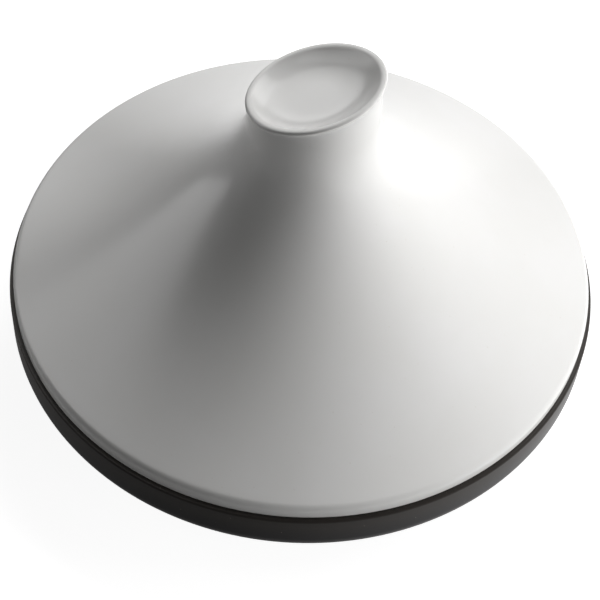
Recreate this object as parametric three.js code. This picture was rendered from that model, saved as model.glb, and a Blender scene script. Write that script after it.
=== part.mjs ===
// A two-piece ceramic tagine: a conical lid with a slanted, dished knob, resting on a shallow round base.
// Millimetres, +Z up. The origin is the centre of the base's foot, on the surface that it stands on.
import * as THREE from 'three';

const { degToRad, smoothstep } = THREE.MathUtils;

// Base: a round bowl on a foot ring, with an upright band below its rim
const BASE_RADIUS = 162.5;
const BASE_HEIGHT = 57;
const BASE_WALL = 9;
const BAND_HEIGHT = 17.3;
const BOWL_ROUND = 5;
const UNDERSIDE_ANGLE = degToRad(40);
const FOOT_RADIUS = 104;
const FOOT_WIDTH = 7;
const FOOT_HEIGHT = 4;
const RIM_ROUND = 1.5;

// Lid edge: an upright band, a rounded shoulder, and a skirt that drops into the base's mouth
const LID_RADIUS = 160;
const EDGE_HEIGHT = 5;
const EDGE_ROUND = 1;
const SHOULDER_RADIUS = 5;
const SKIRT_DEPTH = 6;
const SKIRT_WIDTH = 5;
const SKIRT_CLEARANCE = 1;

// Lid flank: a hollow curve from the shoulder to the neck, with heights counted from the seat
const LID_WALL = 8;
const FLANK_ANGLE = degToRad(28);
const FLANK_REACH = 60;
const NECK_RADIUS = 33.8;
const NECK_HEIGHT = 126;
const NECK_REACH = 45;

// Knob: a round dish on the neck, slanted so that one side of its rim stands higher
const KNOB_RADIUS = 34.8;
const KNOB_HEIGHT = 145.5;
const FLARE_REACH = 8;
const LIP_EDGE = 1.4;
const LIP_RADIUS = 3;
const LIP_REACH = 3;
const LIP_START = degToRad(-45);
const LIP_TURN = degToRad(75);
const LIP_END = degToRad(135);
const DISH_DEPTH = 7.5;
const DISH_REACH = 6;
const DISH_FLOOR_RADIUS = 15;
const KNOB_FLOOR = 11;
const HOLLOW_ROUND = 10;
const SLANT = degToRad(18.9);
const SLANT_AZIMUTH = degToRad(-20);
const SLANT_START = 110;

// Facets: steps around the axis, along each long curve and along each small rounding.
// Points of an outline that are closer than the merge distance are one point.
const TURN_STEPS = 60;
const CURVE_STEPS = 12;
const ROUND_STEPS = 4;
const MERGE_DISTANCE = 0.001;

const QUARTER = Math.PI / 2;
const mouthRadius = BASE_RADIUS - BASE_WALL;

const at = (radius, height) => new THREE.Vector2(radius, height);
const along = (angle, length) => at(length * Math.cos(angle), length * Math.sin(angle));

function arc(centre, radius, startAngle, endAngle, steps = ROUND_STEPS) {
  const { x, y } = centre;
  const clockwise = endAngle < startAngle;
  return new THREE.EllipseCurve(x, y, radius, radius, startAngle, endAngle, clockwise).getPoints(steps);
}

function bend(start, startHandle, endHandle, end, steps = CURVE_STEPS) {
  return new THREE.CubicBezierCurve(start, startHandle, endHandle, end).getPoints(steps);
}

// The other side of a wall: each point of a curve moved squarely across the wall, to the left of its run
function acrossWall(curve, wall, steps = CURVE_STEPS) {
  return curve.getPoints(steps).map((point, i) => {
    const heading = curve.getTangent(i / steps);
    return at(point.x - wall * heading.y, point.y + wall * heading.x);
  });
}

// Turns an outline about the vertical axis. It runs from the axis round the solid and back to the axis.
function revolve(outline) {
  const isNew = (point, i) => i === 0 || point.distanceTo(outline[i - 1]) > MERGE_DISTANCE;
  const geometry = new THREE.LatheGeometry(outline.filter(isNew), TURN_STEPS);
  return geometry.rotateX(QUARTER);
}

// The base is a shell: its underside and band, and the same curves moved in by the wall
function baseDish() {
  const footInside = FOOT_RADIUS - FOOT_WIDTH;
  const turnCentre = at(mouthRadius - BOWL_ROUND, BASE_HEIGHT - BAND_HEIGHT);
  const turnStart = UNDERSIDE_ANGLE - QUARTER;
  const outerTurn = arc(turnCentre, BASE_WALL + BOWL_ROUND, turnStart, 0);
  const innerTurn = arc(turnCentre, BOWL_ROUND, 0, turnStart);
  const underStart = at(FOOT_RADIUS, FOOT_HEIGHT);
  const underEnd = outerTurn[0];
  const underRun = (underEnd.y - FOOT_HEIGHT) / Math.tan(UNDERSIDE_ANGLE);
  const underHandle = at(underEnd.x - underRun, FOOT_HEIGHT);
  const underside = new THREE.CubicBezierCurve(underStart, underHandle, underHandle, underEnd);
  const rimHeight = BASE_HEIGHT - RIM_ROUND;
  return revolve([
    at(0, FOOT_HEIGHT),
    at(footInside, FOOT_HEIGHT),
    at(footInside, 0),
    at(FOOT_RADIUS, 0),
    ...underside.getPoints(CURVE_STEPS),
    ...outerTurn,
    ...arc(at(BASE_RADIUS - RIM_ROUND, rimHeight), RIM_ROUND, 0, QUARTER),
    ...arc(at(mouthRadius + RIM_ROUND, rimHeight), RIM_ROUND, QUARTER, 2 * QUARTER),
    ...innerTurn,
    ...acrossWall(underside, BASE_WALL).reverse(),
    at(0, FOOT_HEIGHT + BASE_WALL),
  ]);
}

const shoulderCentre = at(LID_RADIUS - SHOULDER_RADIUS, EDGE_HEIGHT);
const shoulder = arc(shoulderCentre, SHOULDER_RADIUS, 0, QUARTER - FLANK_ANGLE);
const flankStart = shoulder.at(-1);
const flank = new THREE.CubicBezierCurve(
  flankStart,
  along(2 * QUARTER - FLANK_ANGLE, FLANK_REACH).add(flankStart),
  at(NECK_RADIUS, NECK_HEIGHT - NECK_REACH),
  at(NECK_RADIUS, NECK_HEIGHT),
);

// The lid's outer side, from the seat up the flank, over the knob's lip and down to the dish's flat floor.
// The lip turns sharply at its outer edge and more gently over its top.
function lidOutside() {
  const neck = flank.getPoint(1);
  const lipSlip = along(LIP_TURN, LIP_RADIUS - LIP_EDGE);
  const edgeCentre = at(KNOB_RADIUS - LIP_EDGE, KNOB_HEIGHT - LIP_RADIUS + lipSlip.y);
  const lipCentre = edgeCentre.clone().sub(lipSlip);
  const lipEdge = arc(edgeCentre, LIP_EDGE, LIP_START, LIP_TURN);
  const lipTop = arc(lipCentre, LIP_RADIUS, LIP_TURN, LIP_END);
  const lipFoot = lipEdge[0];
  const lipInside = lipTop.at(-1);
  const neckHandle = at(neck.x, neck.y + FLARE_REACH);
  const lipHandle = along(LIP_START - QUARTER, LIP_REACH).add(lipFoot);
  const wallHandle = along(LIP_END + QUARTER, DISH_REACH).add(lipInside);
  const dishFloor = KNOB_HEIGHT - DISH_DEPTH;
  const floorEdge = at(DISH_FLOOR_RADIUS, dishFloor);
  const floorHandle = at(DISH_FLOOR_RADIUS + DISH_REACH, dishFloor);
  return [
    ...arc(at(LID_RADIUS - EDGE_ROUND, EDGE_ROUND), EDGE_ROUND, -QUARTER, 0),
    ...shoulder,
    ...flank.getPoints(CURVE_STEPS),
    ...bend(neck, neckHandle, lipHandle, lipFoot, CURVE_STEPS / 2),
    ...lipEdge,
    ...lipTop,
    ...bend(lipInside, wallHandle, floorHandle, floorEdge, CURVE_STEPS / 2),
    at(0, dishFloor),
  ];
}

// The lid's inner side, from the closed top of the hollow neck down to the skirt and the seat
function lidInside() {
  const skirtOuter = mouthRadius - SKIRT_CLEARANCE;
  const skirtInner = skirtOuter - SKIRT_WIDTH;
  const hollowTop = at(0, KNOB_HEIGHT - DISH_DEPTH - KNOB_FLOOR);
  const isInside = (point) => point.x < skirtInner && point.y < hollowTop.y - HOLLOW_ROUND;
  const hollow = acrossWall(flank, LID_WALL, 2 * CURVE_STEPS).filter(isInside).reverse();
  const domeFoot = hollow[0];
  const topHandle = at(domeFoot.x / 2, hollowTop.y);
  const footHandle = at(domeFoot.x, (domeFoot.y + hollowTop.y) / 2);
  return [
    ...bend(hollowTop, topHandle, footHandle, domeFoot, CURVE_STEPS / 2),
    ...hollow,
    at(skirtInner, hollow.at(-1).y),
    at(skirtInner, EDGE_ROUND - SKIRT_DEPTH),
    at(skirtInner + EDGE_ROUND, -SKIRT_DEPTH),
    at(skirtOuter - EDGE_ROUND, -SKIRT_DEPTH),
    at(skirtOuter, EDGE_ROUND - SKIRT_DEPTH),
    at(skirtOuter, 0),
  ];
}

// Slants the knob: each level ring is sheared uphill, from none at the neck to the full slant at the rim
function slantKnob(geometry) {
  const places = geometry.getAttribute('position');
  for (let i = 0; i < places.count; i += 1) {
    const height = places.getZ(i);
    const uphill = places.getX(i) * Math.cos(SLANT_AZIMUTH) + places.getY(i) * Math.sin(SLANT_AZIMUTH);
    const share = smoothstep(height, SLANT_START, KNOB_HEIGHT);
    places.setZ(i, height + uphill * Math.tan(SLANT) * share);
  }
  geometry.computeVertexNormals();
  return geometry;
}

function conicalLid() {
  return slantKnob(revolve([...lidInside(), ...lidOutside()]));
}

const blackGlaze = new THREE.MeshStandardMaterial({ color: 0x2a2829, roughness: 0.3, metalness: 0 });
const whiteGlaze = new THREE.MeshStandardMaterial({ color: 0xefeeeb, roughness: 0.18, metalness: 0 });

const base = new THREE.Mesh(baseDish(), blackGlaze);
base.name = 'base_dish';

const lid = new THREE.Mesh(conicalLid(), whiteGlaze);
lid.name = 'conical_lid';
lid.position.z = BASE_HEIGHT;

const tagine = new THREE.Group();
tagine.add(base, lid);

export default tagine;
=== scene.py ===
# %% [markdown]
# # A ceramic tagine
#
# The object is a round cooking pot in two fired pieces: a dark, shallow base and a white conical lid
# whose knob is a slanted little dish. The CAD part is loaded first as a fixed frame. Its two solids are
# right in size but faceted, so each gets a smooth skin here, with the glaze of the real ware on it.

# %% Load the frame
import math

import bpy
import numpy as np
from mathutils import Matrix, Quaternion, Vector


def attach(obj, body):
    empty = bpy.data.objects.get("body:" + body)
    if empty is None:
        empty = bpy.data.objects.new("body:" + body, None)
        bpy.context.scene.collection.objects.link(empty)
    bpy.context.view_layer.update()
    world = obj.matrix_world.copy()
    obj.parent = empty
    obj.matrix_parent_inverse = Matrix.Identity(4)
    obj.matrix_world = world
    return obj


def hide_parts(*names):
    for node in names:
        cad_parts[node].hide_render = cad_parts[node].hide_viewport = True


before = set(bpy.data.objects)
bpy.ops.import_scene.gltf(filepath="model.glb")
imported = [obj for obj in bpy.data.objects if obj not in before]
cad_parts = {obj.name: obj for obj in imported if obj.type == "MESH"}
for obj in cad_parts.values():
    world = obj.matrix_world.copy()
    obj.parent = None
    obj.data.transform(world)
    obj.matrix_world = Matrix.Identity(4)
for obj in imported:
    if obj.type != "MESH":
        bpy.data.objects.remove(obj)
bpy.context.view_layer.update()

# %% [markdown]
# ## The camera
#
# A photograph's camera can be found by hand, by moving it until the outlines meet, or worked out from
# ellipses: the lid's round edge is a circle, so its picture gives the height of the view and the
# distance. That is where these numbers come from. The picture is turned a little, so the camera rolls.

# %% Set up the camera
MM = 0.001
PICTURE_PIXELS = 600
FOCAL_PIXELS = 1710.66
SENSOR_MM = 36
VIEW_DISTANCE = 960 * MM
VIEW_ELEVATION = math.radians(51.40)
VIEW_ROLL = math.radians(4.26)
SEAT_HEIGHT = 57 * MM
AIM = Vector((0.07 * MM, -21.41 * MM, SEAT_HEIGHT))

eye = Vector((0, -math.cos(VIEW_ELEVATION), math.sin(VIEW_ELEVATION))) * VIEW_DISTANCE
eye.z += SEAT_HEIGHT
camera_data = bpy.data.cameras.new("camera")
camera_data.sensor_width = SENSOR_MM
camera_data.lens = FOCAL_PIXELS / PICTURE_PIXELS * SENSOR_MM
camera = bpy.data.objects.new("camera", camera_data)
camera.location = eye
camera.rotation_mode = "QUATERNION"
camera.rotation_quaternion = (AIM - eye).to_track_quat("-Z", "Y") @ Quaternion((0, 0, 1), VIEW_ROLL)
bpy.context.scene.collection.objects.link(camera)
bpy.context.scene.camera = camera
print(f"Lens {camera_data.lens:.1f} mm, {math.degrees(VIEW_ELEVATION):.1f} degrees above level")

# %% [markdown]
# ## Nodes as arithmetic
#
# Both the shapes and the glazes below are made with nodes. Wiring them one by one is long to read, so a
# bench adds a node in one call, and a wire stands for a socket that can be used in sums. An expression
# such as `1 - mask` then adds its Math node by itself.

# %% Make the bench and the wire
class Wire:
    """An output socket that can be used in arithmetic."""

    def __init__(self, bench, socket):
        self.bench = bench
        self.socket = socket

    def out(self, name):
        return Wire(self.bench, self.socket.node.outputs[name])

    def math(self, operation, *values):
        return self.bench.node("ShaderNodeMath", {"operation": operation}, dict(enumerate(values)))

    def __add__(self, other):
        return self.math("ADD", self, other)

    def __sub__(self, other):
        return self.math("SUBTRACT", self, other)

    def __rsub__(self, other):
        return self.math("SUBTRACT", other, self)

    def __mul__(self, other):
        return self.math("MULTIPLY", self, other)

    def __truediv__(self, other):
        return self.math("DIVIDE", self, other)

    def __mod__(self, other):
        return self.math("MODULO", self, other)

    __radd__ = __add__
    __rmul__ = __mul__


class Bench:
    """Adds nodes to one tree: the settings first, then the values or wires of its sockets."""

    def __init__(self, tree):
        self.tree = tree

    def node(self, kind, settings=None, sockets=None, output=0):
        made = self.tree.nodes.new(kind)
        for name, value in (settings or {}).items():
            setattr(made, name, value)
        for name, value in (sockets or {}).items():
            socket = made.inputs[name]
            if isinstance(value, Wire):
                self.tree.links.new(value.socket, socket)
            else:
                socket.default_value = value
        return Wire(self, made.outputs[output]) if made.outputs else made

    def mix(self, share, first, second):
        """A colour that goes from the first to the second as the share goes from 0 to 1."""
        settings = {"data_type": "RGBA"}
        return self.node("ShaderNodeMix", settings, {0: share, 6: first, 7: second}, output=2)

    def ramp(self, value, start, end):
        """0 below the start and 1 past the end, with a smooth rise between them."""
        settings = {"interpolation_type": "SMOOTHSTEP"}
        sockets = {"Value": value, "From Min": start, "From Max": end}
        return self.node("ShaderNodeMapRange", settings, sockets)


print("Bench and wire are ready")

# %% [markdown]
# ## Turned ware
#
# A tagine is thrown or cast round, so both pieces follow one rule: an outline turned about an upright
# axis. Blender's Screw modifier and Spin tool can do that too. Geometry Nodes are used here because the
# same tree can then slant the knob: every ring near the top is sheared uphill, a little at the neck and
# fully at the rim. A grid has one column of points for each step around the axis and one row for each
# point of the outline. Merging by distance closes the seam and the two ends on the axis.

# %% Build the tree that turns an outline
SAME_PLACE = 1e-6


def turned_ware_tree():
    tree = bpy.data.node_groups.new("turned_ware", "GeometryNodeTree")
    sizes = {
        "Outline": "NodeSocketObject", "Steps Around": "NodeSocketInt", "Slant": "NodeSocketFloat",
        "Slant Azimuth": "NodeSocketFloat", "Slant Start": "NodeSocketFloat",
        "Slant End": "NodeSocketFloat", "Glaze": "NodeSocketMaterial",
    }
    for name, kind in sizes.items():
        tree.interface.new_socket(name, in_out="INPUT", socket_type=kind)
    tree.interface.new_socket("Ware", in_out="OUTPUT", socket_type="NodeSocketGeometry")

    bench = Bench(tree)
    given = bench.node("NodeGroupInput")
    outline = bench.node("GeometryNodeObjectInfo", None, {"Object": given.out("Outline")}).out("Geometry")
    count = bench.node("GeometryNodeAttributeDomainSize", {"component": "MESH"}, {"Geometry": outline})
    columns = given.out("Steps Around") + 1
    grid = bench.node("GeometryNodeMeshGrid", None, {"Vertices X": columns, "Vertices Y": count})

    index = bench.node("GeometryNodeInputIndex")
    row = index % count
    turn = (index - row) / count / given.out("Steps Around") * math.tau

    def at_row(kind, value):
        """The value at the outline's point that belongs to this row of the grid."""
        settings = {"data_type": kind, "domain": "POINT"}
        sockets = {"Geometry": outline, "Value": value, "Index": row}
        return bench.node("GeometryNodeSampleIndex", settings, sockets)

    point = at_row("FLOAT_VECTOR", bench.node("GeometryNodeInputPosition"))
    split = bench.node("ShaderNodeSeparateXYZ", None, {0: point})
    radius, height = split.out("X"), split.out("Z")
    across = radius * turn.math("SINE", turn)
    towards = 0 - radius * turn.math("COSINE", turn)

    azimuth = given.out("Slant Azimuth")
    uphill = across * azimuth.math("COSINE", azimuth) + towards * azimuth.math("SINE", azimuth)
    share = bench.ramp(height, given.out("Slant Start"), given.out("Slant End"))
    raised = height + uphill * share * given.out("Slant")
    turned = bench.node("ShaderNodeCombineXYZ", None, {0: across, 1: towards, 2: raised})

    ware = bench.node("GeometryNodeSetPosition", None, {"Geometry": grid, "Position": turned})
    for name in ("bend", "bare"):
        note = bench.node("GeometryNodeInputNamedAttribute", {"data_type": "FLOAT"}, {"Name": name})
        settings = {"data_type": "FLOAT", "domain": "POINT"}
        sockets = {"Geometry": ware, "Name": name, "Value": at_row("FLOAT", note)}
        ware = bench.node("GeometryNodeStoreNamedAttribute", settings, sockets)
    ware = bench.node("GeometryNodeMergeByDistance", None, {"Geometry": ware, "Distance": SAME_PLACE})
    ware = bench.node("GeometryNodeSetShadeSmooth", None, {"Geometry": ware})
    ware = bench.node("GeometryNodeRealizeInstances", None, {"Geometry": ware})
    ware = bench.node("GeometryNodeSetMaterial", None, {"Geometry": ware, "Material": given.out("Glaze")})
    bench.node("NodeGroupOutput", None, {"Ware": ware})
    return tree


turned_ware = turned_ware_tree()
print("Turned ware tree:", len(turned_ware.nodes), "nodes")

# %% [markdown]
# ## Outlines
#
# The outlines are drawn as a potter's rib would cut them, from arcs and smooth bends, in millimetres:
# distance from the axis, then height. A wall has the same thickness everywhere, so its inner side is
# its outer curve moved squarely across. Glaze thins over outward bends and gathers in inward ones, so
# each point of an outline also notes how sharply it bends, and whether it is wiped bare for firing.

# %% Draw with arcs and bends
QUARTER = math.pi / 2
TURN_STEPS = 192
LONG_STEPS = 96
MIDDLE_STEPS = 32
SHORT_STEPS = 12
EASE_STEPS = 6


def at(radius, height):
    return np.array((radius, height), float)


def heading(angle, length=1.0):
    return length * at(math.cos(angle), math.sin(angle))


def arc(centre, radius, start, end, steps=SHORT_STEPS):
    return [centre + heading(angle, radius) for angle in np.linspace(start, end, steps + 1)]


def bend(start, start_handle, end_handle, end, steps):
    shares = np.linspace(0, 1, steps + 1)[:, None]
    rest = 1 - shares
    curve = rest**3 * start + 3 * rest**2 * shares * start_handle
    return list(curve + 3 * rest * shares**2 * end_handle + shares**3 * end)


def corner(before, point, after, radius):
    """A sharp corner of the outline eased by a small bend."""
    into = point + radius * (before - point) / np.linalg.norm(before - point)
    away = point + radius * (after - point) / np.linalg.norm(after - point)
    return bend(into, (into + 2 * point) / 3, (away + 2 * point) / 3, away, EASE_STEPS)


def across_wall(points, wall):
    """The points moved to the left of their run by the wall's thickness."""
    along = np.gradient(np.array(points), axis=0)
    along /= np.linalg.norm(along, axis=1)[:, None]
    return [point + wall * at(-run[1], run[0]) for point, run in zip(points, along)]


print("Drawing with", TURN_STEPS, "steps around the axis")

# %% [markdown]
# ## From outline to piece
#
# An outline becomes a string of points in the upright plane, with the two notes stored on them. The tree
# turns it, and the evaluated result is kept as a plain mesh, so that nothing live is left on the piece.
# The knob is drawn a hair lower than in the CAD, because a smoother lip rises higher between its points.

# %% Turn an outline into a piece
BEND_SPAN = 2.5
SLANT = math.tan(math.radians(18.9))
SLANT_AZIMUTH = math.radians(-20)
SLANT_START = 110
KNOB_HEIGHT = 145.45


def outward_bend(points):
    """How far the outline turns outwards within a short span of each point, as a share of a half turn."""
    steps = np.diff(points, axis=0)
    lengths = np.linalg.norm(steps, axis=1)
    angles = np.unwrap(np.arctan2(steps[:, 1], steps[:, 0]))
    run = np.concatenate(([0], np.cumsum(lengths)))
    middles = (run[1:] + run[:-1]) / 2
    ahead = np.interp(run + BEND_SPAN, middles, angles)
    behind = np.interp(run - BEND_SPAN, middles, angles)
    return (ahead - behind) / math.pi


def outline_object(name, points, is_bare):
    kept = [points[0]]
    for point in points[1:]:
        if np.linalg.norm(point - kept[-1]) * MM > SAME_PLACE:
            kept.append(point)
    kept = np.array(kept)
    mesh = bpy.data.meshes.new(name)
    mesh.from_pydata([(radius * MM, 0, height * MM) for radius, height in kept], [], [])
    notes = {"bend": outward_bend(kept), "bare": [float(is_bare(*point)) for point in kept]}
    for note, values in notes.items():
        mesh.attributes.new(note, "FLOAT", "POINT").data.foreach_set("value", np.array(values, np.float32))
    drawn = bpy.data.objects.new(name, mesh)
    bpy.context.scene.collection.objects.link(drawn)
    return drawn


def turn_piece(name, points, is_bare, glaze, slant, seat):
    drawn = outline_object(name + "_outline", [point + at(0, seat) for point in points], is_bare)
    raw = bpy.data.objects.new(name + "_raw", bpy.data.meshes.new(name + "_raw"))
    bpy.context.scene.collection.objects.link(raw)
    modifier = raw.modifiers.new("turn", "NODES")
    modifier.node_group = turned_ware
    given = {
        "Outline": drawn, "Steps Around": TURN_STEPS, "Slant": slant, "Slant Azimuth": SLANT_AZIMUTH,
        "Slant Start": (seat + SLANT_START) * MM, "Slant End": (seat + KNOB_HEIGHT) * MM, "Glaze": glaze,
    }
    for item in turned_ware.interface.items_tree:
        if item.in_out == "INPUT":
            modifier[item.identifier] = given[item.name]
    evaluated = raw.evaluated_get(bpy.context.evaluated_depsgraph_get())
    mesh = bpy.data.meshes.new_from_object(evaluated)
    for spare in (raw, drawn):
        bpy.data.objects.remove(spare)
    mesh.name = name
    piece = bpy.data.objects.new(name, mesh)
    bpy.context.scene.collection.objects.link(piece)
    print(f"{name}: {len(mesh.vertices)} points, {len(mesh.polygons)} faces")
    return piece


print(f"Knob slants {math.degrees(math.atan(SLANT)):.1f} degrees")

# %% [markdown]
# ## Glazes
#
# Fired glaze is a thin coat of glass. It is a touch lighter or warmer where it runs thin over an edge,
# deeper where it gathers, faintly clouded, and never quite flat: its skin has the soft waviness of an
# orange peel. All of that comes from noise on the object's own coordinates and from the two notes on the
# outline. Painted pictures could do it too, but they need a flat map of the ware and show its seams, and
# noise does not. Where the ware stands in the kiln it is wiped bare, and the dry, grainy clay shows.

# %% Mix the glazes
CLAY_PALE = (0.52, 0.44, 0.36, 1)
CLAY_DARK = (0.40, 0.33, 0.27, 1)
CLAY_ROUGHNESS = 0.85
CLOUD_SCALE = 22
PEEL_SCALE = 320
GRAIN_SCALE = 2400
PIT_SCALE = 190
NOISE_MIDDLE = 0.5
PIT_EDGES = (0.09, 0.05)
THIN_EDGES = (0.05, 0.4)
THIN_WANDER = 0.1
POOL_EDGES = (0.02, 0.3)
BARE_EDGES = (0.4, 0.6)
BARE_WANDER = 0.3
CLOUD_EDGES = (0.35, 0.7)
POOL_TINT = 0.6
PIT_TINT = 0.2
CLOUD_DULL = 0.05
THIN_DULL = 0.06
PEEL_RELIEF = 0.25
GRAIN_RELIEF = 0.5
PIT_RELIEF = 0.3
RELIEF_STRENGTH = 0.25
RELIEF_DEPTH = 0.2 * MM


def glaze_material(name, body, cloud, thin, pool, roughness, specular):
    material = bpy.data.materials.new(name)
    material.use_nodes = True
    bench = Bench(material.node_tree)
    shader = material.node_tree.nodes["Principled BSDF"]
    shader.inputs["Specular IOR Level"].default_value = specular
    place = bench.node("ShaderNodeTexCoord").out("Object")

    def noise(scale, detail):
        return bench.node("ShaderNodeTexNoise", None, {"Vector": place, "Scale": scale, "Detail": detail})

    def outline_note(note):
        return bench.node("ShaderNodeAttribute", {"attribute_name": note}).out("Fac")

    clouds = noise(CLOUD_SCALE, detail=3)
    peel = noise(PEEL_SCALE, detail=1)
    grain = noise(GRAIN_SCALE, detail=3)
    pits = bench.node("ShaderNodeTexVoronoi", None, {"Vector": place, "Scale": PIT_SCALE})
    pit_size = bench.node("ShaderNodeSeparateColor", None, {0: pits.out("Color")})
    pinhole = bench.ramp(pits, *(pit_size * edge for edge in PIT_EDGES))

    outward = outline_note("bend")
    thin_share = bench.ramp(outward + (clouds - NOISE_MIDDLE) * THIN_WANDER, *THIN_EDGES)
    pool_share = bench.ramp(0 - outward, *POOL_EDGES)
    bare_share = bench.ramp(outline_note("bare") + (grain - NOISE_MIDDLE) * BARE_WANDER, *BARE_EDGES)
    color = bench.mix(bench.ramp(clouds, *CLOUD_EDGES), body, cloud)
    color = bench.mix(thin_share, color, thin)
    color = bench.mix(pool_share * POOL_TINT, color, pool)
    color = bench.mix(pinhole * PIT_TINT, color, CLAY_PALE)
    clay = bench.mix(grain, CLAY_DARK, CLAY_PALE)
    color = bench.mix(bare_share, color, clay)

    gloss = roughness + clouds * CLOUD_DULL + thin_share * THIN_DULL
    rough = gloss + (CLAY_ROUGHNESS - gloss) * bare_share
    relief = (peel - NOISE_MIDDLE) * PEEL_RELIEF - pinhole * PIT_RELIEF
    relief = relief + (grain - NOISE_MIDDLE) * bare_share * GRAIN_RELIEF
    bump_sockets = {"Strength": RELIEF_STRENGTH, "Distance": RELIEF_DEPTH, "Height": relief}
    bump = bench.node("ShaderNodeBump", None, bump_sockets)
    for socket, wire in {"Base Color": color, "Roughness": rough, "Normal": bump}.items():
        material.node_tree.links.new(wire.socket, shader.inputs[socket])
    return material


white_glaze = glaze_material(
    "white_glaze", body=(0.80, 0.795, 0.78, 1), cloud=(0.815, 0.81, 0.80, 1),
    thin=(0.79, 0.785, 0.77, 1), pool=(0.79, 0.795, 0.79, 1), roughness=0.18, specular=0.4,
)
charcoal_glaze = glaze_material(
    "charcoal_glaze", body=(0.0105, 0.0095, 0.01, 1), cloud=(0.014, 0.0125, 0.0132, 1),
    thin=(0.035, 0.031, 0.028, 1), pool=(0.009, 0.009, 0.0095, 1), roughness=0.3, specular=0.15,
)
print("Glazes:", white_glaze.name, charcoal_glaze.name)

# %% [markdown]
# ## The base
#
# A shallow bowl with an upright band below its rim, a rounded turn, a flat-lying underside and a foot
# ring. The band is what shows under the lid. A solid could be turned first and hollowed with a Boolean
# cut. Here the bowl is the underside moved in by the wall, so that the wall is even and the skin is one
# clean surface. The foot is wiped bare, since glaze would stick to the kiln shelf.

# %% Draw and turn the base
BASE_RADIUS = 162.5
BASE_HEIGHT = 57
BASE_WALL = 9
BAND_HEIGHT = 17.3
BOWL_ROUND = 5
UNDERSIDE_ANGLE = math.radians(40)
FOOT_RADIUS = 104
FOOT_WIDTH = 7
FOOT_HEIGHT = 4
FOOT_ROUND = 1.2
RIM_ROUND = 1.5
MOUTH_RADIUS = BASE_RADIUS - BASE_WALL


def base_outline():
    foot_inside = FOOT_RADIUS - FOOT_WIDTH
    turn_centre = at(MOUTH_RADIUS - BOWL_ROUND, BASE_HEIGHT - BAND_HEIGHT)
    turn_start = UNDERSIDE_ANGLE - QUARTER
    outer_turn = arc(turn_centre, BASE_WALL + BOWL_ROUND, turn_start, 0)
    inner_turn = arc(turn_centre, BOWL_ROUND, 0, turn_start)
    under_start = at(FOOT_RADIUS, FOOT_HEIGHT)
    under_run = (outer_turn[0][1] - FOOT_HEIGHT) / math.tan(UNDERSIDE_ANGLE)
    under_handle = at(outer_turn[0][0] - under_run, FOOT_HEIGHT)
    underside = bend(under_start, under_handle, under_handle, outer_turn[0], LONG_STEPS)
    past_foot = underside[LONG_STEPS // 8:]
    rim_height = BASE_HEIGHT - RIM_ROUND
    inner_side = across_wall(underside, BASE_WALL)[::-1]
    hollow = at(foot_inside, FOOT_HEIGHT)
    inner_heel = at(foot_inside, 0)
    outer_heel = at(FOOT_RADIUS, 0)
    return [
        at(0, FOOT_HEIGHT),
        *corner(at(0, FOOT_HEIGHT), hollow, inner_heel, FOOT_ROUND),
        *corner(hollow, inner_heel, outer_heel, FOOT_ROUND),
        *corner(inner_heel, outer_heel, under_start, FOOT_ROUND),
        *corner(outer_heel, under_start, past_foot[0], FOOT_ROUND),
        *past_foot,
        *outer_turn,
        *arc(at(BASE_RADIUS - RIM_ROUND, rim_height), RIM_ROUND, 0, QUARTER),
        *arc(at(MOUTH_RADIUS + RIM_ROUND, rim_height), RIM_ROUND, QUARTER, 2 * QUARTER),
        *inner_turn,
        *inner_side,
        at(0, FOOT_HEIGHT + BASE_WALL),
    ]


def base_bare(radius, height):
    return height < FOOT_ROUND


base = turn_piece("base_ware", base_outline(), base_bare, charcoal_glaze, slant=0, seat=0)
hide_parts("base_dish")
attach(base, "base")

# %% [markdown]
# ## The lid's outer side
#
# The lid rises from an upright edge over a rounded shoulder and a hollow flank to the neck. The knob is a
# shallow dish on it, for a little cold water or a spoon. Its lip turns sharply at its outer edge and more
# gently over its top, and the dish's wall eases into a flat floor, a little more softly than in the CAD.
# The outline could be drawn by hand as a curve. Here it is made of arcs and bends, so that each size is a
# number. Heights are counted from the seat, the flat ring on which the lid stands.

# %% Draw the lid's outer side
LID_RADIUS = 160
EDGE_HEIGHT = 5
EDGE_ROUND = 1
SHOULDER_RADIUS = 5
FLANK_ANGLE = math.radians(28)
FLANK_REACH = 60
NECK_RADIUS = 33.8
NECK_HEIGHT = 126
NECK_REACH = 45
KNOB_RADIUS = 34.8
FLARE_REACH = 8
LIP_RADIUS = 3
LIP_EDGE = 1.4
LIP_REACH = 3
LIP_START = math.radians(-45)
LIP_TURN = math.radians(75)
LIP_END = math.radians(130)
DISH_DEPTH = 7.5
DISH_REACH = 8
DISH_FLOOR_RADIUS = 11

shoulder = arc(at(LID_RADIUS - SHOULDER_RADIUS, EDGE_HEIGHT), SHOULDER_RADIUS, 0, QUARTER - FLANK_ANGLE)
neck = at(NECK_RADIUS, NECK_HEIGHT)
flank_handle = shoulder[-1] + heading(2 * QUARTER - FLANK_ANGLE, FLANK_REACH)
flank = bend(shoulder[-1], flank_handle, neck - at(0, NECK_REACH), neck, LONG_STEPS)


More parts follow.
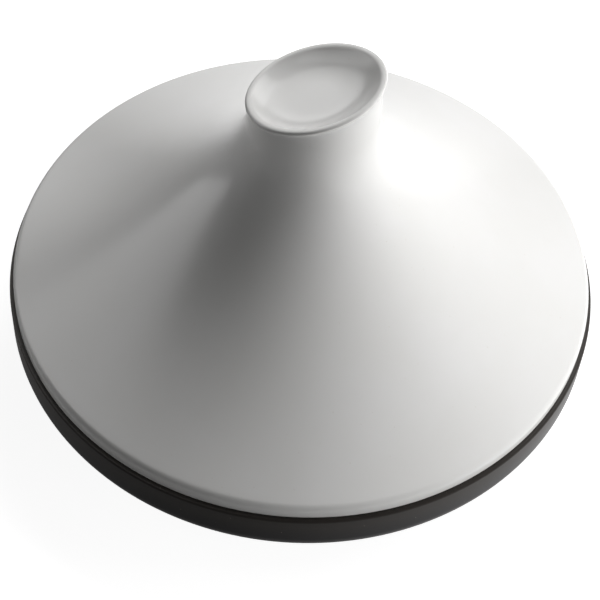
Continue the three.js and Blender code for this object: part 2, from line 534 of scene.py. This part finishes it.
def lid_outside():
    lip_slip = heading(LIP_TURN, LIP_RADIUS - LIP_EDGE)
    edge_centre = at(KNOB_RADIUS - LIP_EDGE, KNOB_HEIGHT - LIP_RADIUS + lip_slip[1])
    lip = arc(edge_centre, LIP_EDGE, LIP_START, LIP_TURN)
    lip += arc(edge_centre - lip_slip, LIP_RADIUS, LIP_TURN, LIP_END)
    lip_handle = lip[0] - heading(LIP_START + QUARTER, LIP_REACH)
    wall_handle = lip[-1] + heading(LIP_END + QUARTER, DISH_REACH)
    dish_floor = KNOB_HEIGHT - DISH_DEPTH
    floor_edge = at(DISH_FLOOR_RADIUS, dish_floor)
    floor_handle = floor_edge + at(DISH_REACH, 0)
    return [
        *arc(at(LID_RADIUS - EDGE_ROUND, EDGE_ROUND), EDGE_ROUND, -QUARTER, 0),
        *shoulder,
        *flank,
        *bend(neck, neck + at(0, FLARE_REACH), lip_handle, lip[0], MIDDLE_STEPS),
        *lip,
        *bend(lip[-1], wall_handle, floor_handle, floor_edge, MIDDLE_STEPS),
        at(DISH_FLOOR_RADIUS / 2, dish_floor),
        at(0, dish_floor),
    ]


print("Outer side of the lid:", len(lid_outside()), "points")

# %% [markdown]
# ## The lid's inner side
#
# Inside, the lid is hollow up into the neck, so that steam can gather there and run back down. A skirt
# below the seat drops into the base's mouth and keeps the lid in place. The inner side is the flank
# moved in by the wall, which keeps the thickness even, as it has to be for firing. It is drawn from the
# top down and joined to the outer side, and the whole outline is turned at once, so the lid is one closed
# skin. The seat is wiped bare.

# %% Draw the inner side and turn the lid
SKIRT_DEPTH = 6
SKIRT_WIDTH = 5
SKIRT_CLEARANCE = 1
SKIRT_EASE = 3
LID_WALL = 8
KNOB_FLOOR = 11
HOLLOW_ROUND = 10
SEAT_EASE = 0.5
SEAT_SKIN = 0.125


def lid_inside():
    skirt_outer = MOUTH_RADIUS - SKIRT_CLEARANCE
    skirt_inner = skirt_outer - SKIRT_WIDTH
    top = at(0, KNOB_HEIGHT - DISH_DEPTH - KNOB_FLOOR)
    inner_flank = across_wall(flank, LID_WALL)[::-1]
    ends = (skirt_inner - SKIRT_EASE, top[1] - HOLLOW_ROUND)
    hollow = [point for point in inner_flank if point[0] < ends[0] and point[1] < ends[1]]
    foot = hollow[0]
    skirt_top = at(skirt_inner, hollow[-1][1] - SKIRT_EASE * math.tan(FLANK_ANGLE))
    inner_heel = at(skirt_inner, -SKIRT_DEPTH)
    outer_heel = at(skirt_outer, -SKIRT_DEPTH)
    seat = at(skirt_outer, 0)
    return [
        *bend(top, at(foot[0] / 2, top[1]), at(foot[0], (foot[1] + top[1]) / 2), foot, MIDDLE_STEPS),
        *hollow,
        *corner(hollow[-1], skirt_top, inner_heel, SKIRT_EASE),
        *corner(skirt_top, inner_heel, outer_heel, EDGE_ROUND),
        *corner(inner_heel, outer_heel, seat, EDGE_ROUND),
        *corner(outer_heel, seat, at(LID_RADIUS, 0), SEAT_EASE),
    ]


def lid_bare(radius, height):
    return height < BASE_HEIGHT + SEAT_SKIN and radius > MOUTH_RADIUS


lid_outline = [*lid_inside(), *lid_outside()]
lid = turn_piece("lid_ware", lid_outline, lid_bare, white_glaze, slant=SLANT, seat=BASE_HEIGHT)
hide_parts("conical_lid")
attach(lid, "lid")

# %% [markdown]
# ## What the glaze mirrors
#
# Glossy glaze mirrors the room it stands in: here a dim room with a lit floor on one side, a tall white
# card on the left, whose mirror image is the soft band on the left flank, and a white panel high behind,
# which shows in the dish. These could be real cards, but then they would light the ware as well, so they
# are drawn into what glossy surfaces see. The Light Path node tells which kind of ray is asking.

# %% Draw what glossy surfaces see
FLOOR_DIM = 0.12
FLOOR_LIT = 0.9
LIT_AZIMUTH = math.radians(30)
LIT_START = -0.15
LIT_END = 0.13
ROOM_DIM = 0.12
PANEL_LIGHT = 2.6
PANEL_HEADING = Vector((-0.402, 0.757, 0.515))
PANEL_EDGES = (0.86, 0.95)
CARD_LIGHT = 2.4
CARD_PLANE = Vector((0.345, 0.905, 0.247))
CARD_EDGES = (0.26, 0.16)
CARD_SIDE = (0, 0.3)


def seen_light(bench, in_view, in_reflections):
    """What the camera sees, what shows in glossy and clear surfaces, and none that lights the ware."""
    path = bench.node("ShaderNodeLightPath")
    mirrored = path.math("MAXIMUM", path.out("Is Glossy Ray"), path.out("Is Transmission Ray"))
    return path.out("Is Camera Ray") * in_view + mirrored * in_reflections


def floor_in_reflections(bench):
    """Dim on the left and in front, and bright on the side that the lamps light."""
    place = bench.node("ShaderNodeSeparateXYZ", None, {0: bench.node("ShaderNodeTexCoord").out("Object")})
    along = place.out("X") * math.cos(LIT_AZIMUTH) + place.out("Y") * math.sin(LIT_AZIMUTH)
    return FLOOR_DIM + bench.ramp(along, LIT_START, LIT_END) * (FLOOR_LIT - FLOOR_DIM)


def room_in_reflections(bench):
    """A dark room with a tall card on the left and a panel high behind it, which the dish mirrors."""
    towards = bench.node("ShaderNodeTexCoord").out("Generated")
    side = bench.node("ShaderNodeSeparateXYZ", None, {0: towards})
    dot = {"operation": "DOT_PRODUCT"}
    across = bench.node("ShaderNodeVectorMath", dot, {0: towards, 1: CARD_PLANE}, output="Value")
    facing = bench.node("ShaderNodeVectorMath", dot, {0: towards, 1: PANEL_HEADING}, output="Value")
    on_card = bench.ramp(across.math("ABSOLUTE", across), *CARD_EDGES)
    on_left = bench.ramp(0 - side.out("X"), *CARD_SIDE)
    on_panel = bench.ramp(facing, *PANEL_EDGES)
    return ROOM_DIM + on_card * on_left * CARD_LIGHT + on_panel * PANEL_LIGHT


print("Mirrored light: card", CARD_LIGHT, "panel", PANEL_LIGHT, "lit floor", FLOOR_LIT)

# %% [markdown]
# ## Floor and background
#
# The ware stands on a plain pale floor. It has to look white in the picture and still take the shadow,
# so the floor keeps its own shaded colour and gains some light of its own that only the camera sees. From
# below the floor is clear, so that the foot can be looked at. The world is white to the camera in the
# same way. Stronger lamps would whiten both too, but would bleach the lid.

# %% Lay the floor and set the world
FLOOR_HALF = 3.0
FLOOR_COLOR = (0.45, 0.45, 0.45, 1)
FLOOR_GLOW = 0.9
BACKDROP_GLOW = 1
WHITE = (1, 1, 1, 1)

floor_mesh = bpy.data.meshes.new("floor")
floor_corners = [(x * FLOOR_HALF, y * FLOOR_HALF, 0) for x, y in ((-1, -1), (1, -1), (1, 1), (-1, 1))]
floor_mesh.from_pydata(floor_corners, [], [(0, 1, 2, 3)])
floor = bpy.data.objects.new("floor", floor_mesh)
bpy.context.scene.collection.objects.link(floor)

floor_paint = bpy.data.materials.new("floor_paint")
floor_paint.use_nodes = True
floor_paint.node_tree.nodes.clear()
floor_bench = Bench(floor_paint.node_tree)
matt = floor_bench.node("ShaderNodeBsdfDiffuse", None, {"Color": FLOOR_COLOR})
floor_light = seen_light(floor_bench, FLOOR_GLOW, floor_in_reflections(floor_bench))
glow = floor_bench.node("ShaderNodeEmission", None, {"Strength": floor_light})
upper_side = floor_bench.node("ShaderNodeAddShader", None, {0: matt, 1: glow})
lower_side = floor_bench.node("ShaderNodeBsdfTransparent")
from_below = floor_bench.node("ShaderNodeNewGeometry").out("Backfacing")
sides = floor_bench.node("ShaderNodeMixShader", None, {0: from_below, 1: upper_side, 2: lower_side})
floor_bench.node("ShaderNodeOutputMaterial", None, {"Surface": sides})
floor_mesh.materials.append(floor_paint)

world = bpy.data.worlds.new("studio")
world.use_nodes = True
world.node_tree.nodes.clear()
bpy.context.scene.world = world
world_bench = Bench(world.node_tree)
room_light = seen_light(world_bench, BACKDROP_GLOW, room_in_reflections(world_bench))
backdrop = world_bench.node("ShaderNodeBackground", None, {"Color": WHITE, "Strength": room_light})
world_bench.node("ShaderNodeOutputWorld", None, {"Surface": backdrop})
print("Floor", 2 * FLOOR_HALF, "m across, glow", FLOOR_GLOW)

# %% [markdown]
# ## Lamps
#
# The photograph is lit like a studio still: a broad, low lamp on the right with a weaker one above it,
# one behind on the right that looks into the knob's dish, and a weak fill on the left. Each lamp is
# placed by its direction and distance from the middle of the lid and faces it. Directions are counted
# from the right, towards the back. A lamp whose mirror image would be a hard patch on the glaze is kept
# out of reflections, as a photographer would do with a large diffuser.

# %% Hang the lamps
LAMP_TARGET = Vector((0, 0, 0.09))
LAMP_DISTANCE = 1.3


def soft_lamp(name, azimuth, elevation, size, power, in_reflections=True):
    turn, rise = math.radians(azimuth), math.radians(elevation)
    out = Vector((math.cos(turn) * math.cos(rise), math.sin(turn) * math.cos(rise), math.sin(rise)))
    data = bpy.data.lights.new(name, "AREA")
    data.shape = "RECTANGLE"
    data.size, data.size_y = size
    data.energy = power
    lamp = bpy.data.objects.new(name, data)
    lamp.location = LAMP_TARGET + out * LAMP_DISTANCE
    lamp.rotation_mode = "QUATERNION"
    lamp.rotation_quaternion = (-out).to_track_quat("-Z", "Y")
    lamp.visible_glossy = in_reflections
    bpy.context.scene.collection.objects.link(lamp)
    print(f"{name}: {power} W at {azimuth} degrees, {elevation} up")


soft_lamp("low_key", azimuth=-18, elevation=8, size=(1.2, 0.4), power=11.8, in_reflections=False)
soft_lamp("high_key", azimuth=12, elevation=38, size=(0.9, 0.6), power=4.8, in_reflections=False)
soft_lamp("back_light", azimuth=58, elevation=47, size=(1.2, 0.8), power=11.4)
soft_lamp("left_fill", azimuth=176, elevation=20, size=(0.7, 1.0), power=2.6, in_reflections=False)

# %% [markdown]
# ## View settings
#
# The picture uses Blender's plain Standard view transform. The skins have to fill the
# same box as the CAD solids.

# %% Set the view transform
bpy.context.scene.view_settings.view_transform = "Standard"
